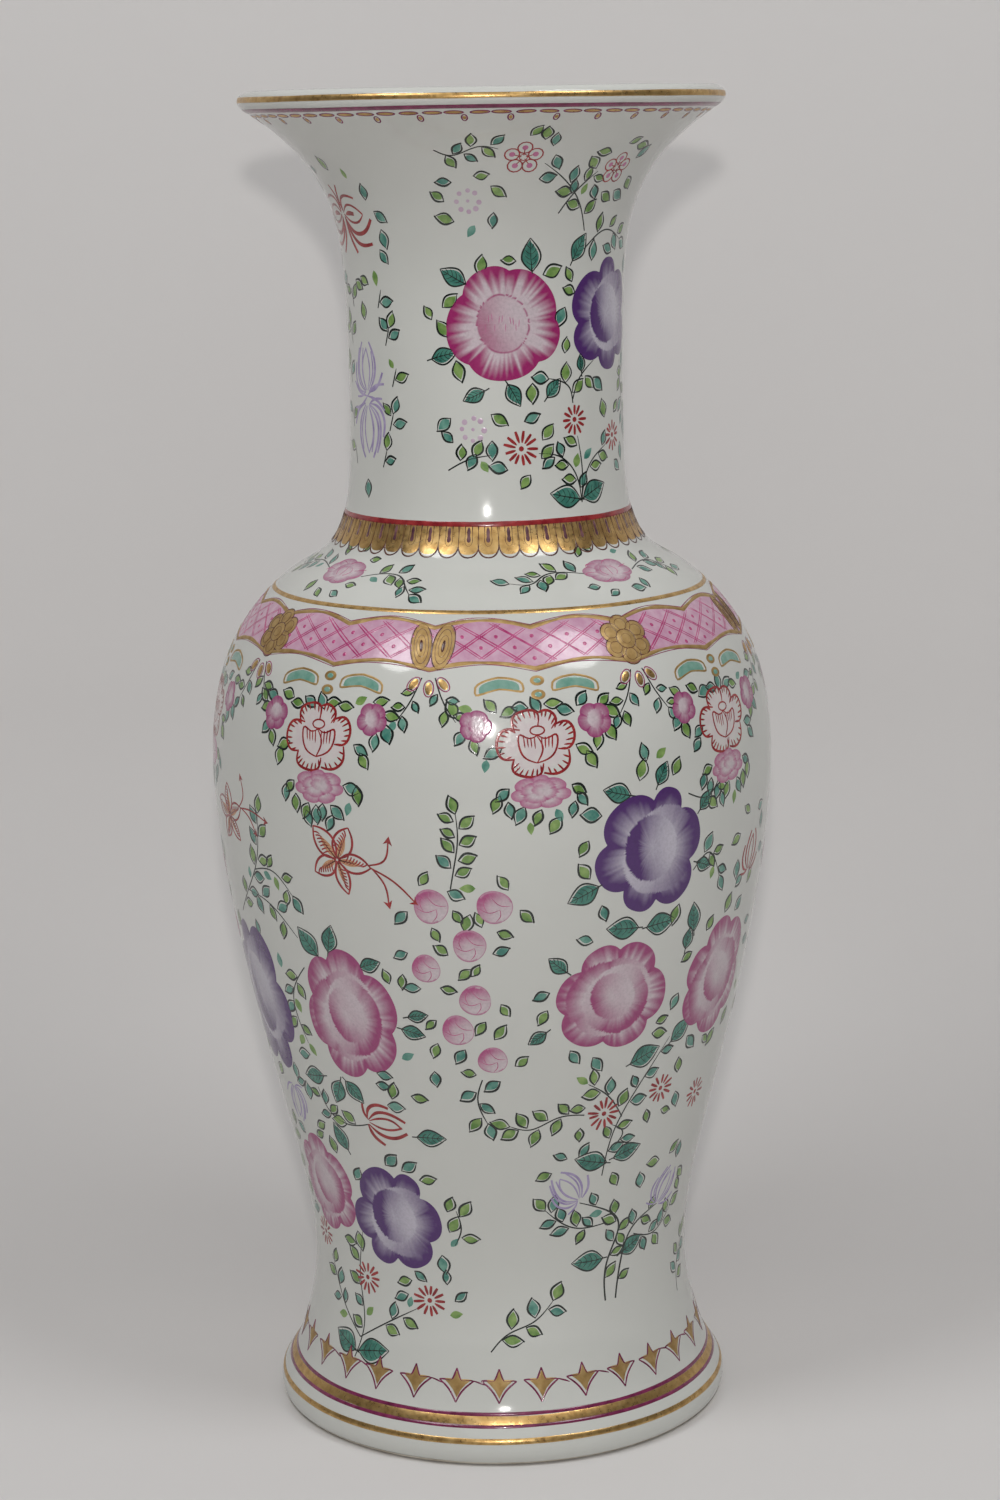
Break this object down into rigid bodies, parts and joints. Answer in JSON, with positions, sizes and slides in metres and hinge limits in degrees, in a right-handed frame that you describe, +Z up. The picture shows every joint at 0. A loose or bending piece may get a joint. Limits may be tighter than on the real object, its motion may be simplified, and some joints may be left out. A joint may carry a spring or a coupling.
{
  "type": "porcelain vase",
  "caption": "Baluster porcelain vase with a flared mouth, tall neck, swelling belly and spreading foot, painted with flower sprays and gilt bands.",
  "frame": {"origin": "centre of the foot, in the plane of the table", "axes": "+Z up along the axis of the vase; -Y towards the front panel, the side with the two tall flower sprays; +X to the viewer's right"},
  "size_m": [0.159, 0.1588, 0.375],
  "materials": {
    "porcelain_biscuit": "unglazed high-fired porcelain, matt",
    "luting_slip": "fired porcelain slip, matt",
    "clear_glaze": "cool white glaze, high gloss",
    "gilding": "burnished gilding, slightly brushed and worn",
    "puce_enamel": "dark puce overglaze enamel, semi-gloss",
    "iron_red_enamel": "carmine iron-red overglaze enamel, semi-gloss",
    "pink_enamel": "pale rose overglaze enamel with a darker diaper, gloss",
    "line_enamel": "near-black overglaze enamel of the painted outlines and stems, semi-gloss",
    "green_enamel": "yellow-green and teal overglaze enamels of the painted leaves, gloss",
    "lilac_enamel": "lilac and purple overglaze enamels of the painted flowers, gloss",
    "turquoise_enamel": "turquoise overglaze enamel of the small cartouches, gloss"
  },
  "bodies": {
    "root": {"foot_ring": "porcelain_biscuit", "foot_luting_slip": "luting_slip", "lower_body": "porcelain_biscuit", "belly_luting_slip": "luting_slip", "upper_body": "porcelain_biscuit", "neck_luting_slip": "luting_slip", "neck": "porcelain_biscuit", "glaze_coat": "clear_glaze", "underside_glaze": "clear_glaze", "lip_gilt_line": "gilding", "rim_enamel_line": "puce_enamel", "collar_enamel_line": "iron_red_enamel", "collar_gilt_band": "gilding", "shoulder_gilt_line": "gilding", "trellis_enamel_band": "pink_enamel", "foot_upper_enamel_line": "puce_enamel", "foot_gilt_band": "gilding", "foot_lower_enamel_line": "puce_enamel", "foot_gilt_line": "gilding"}
  },
  "joints": []
}
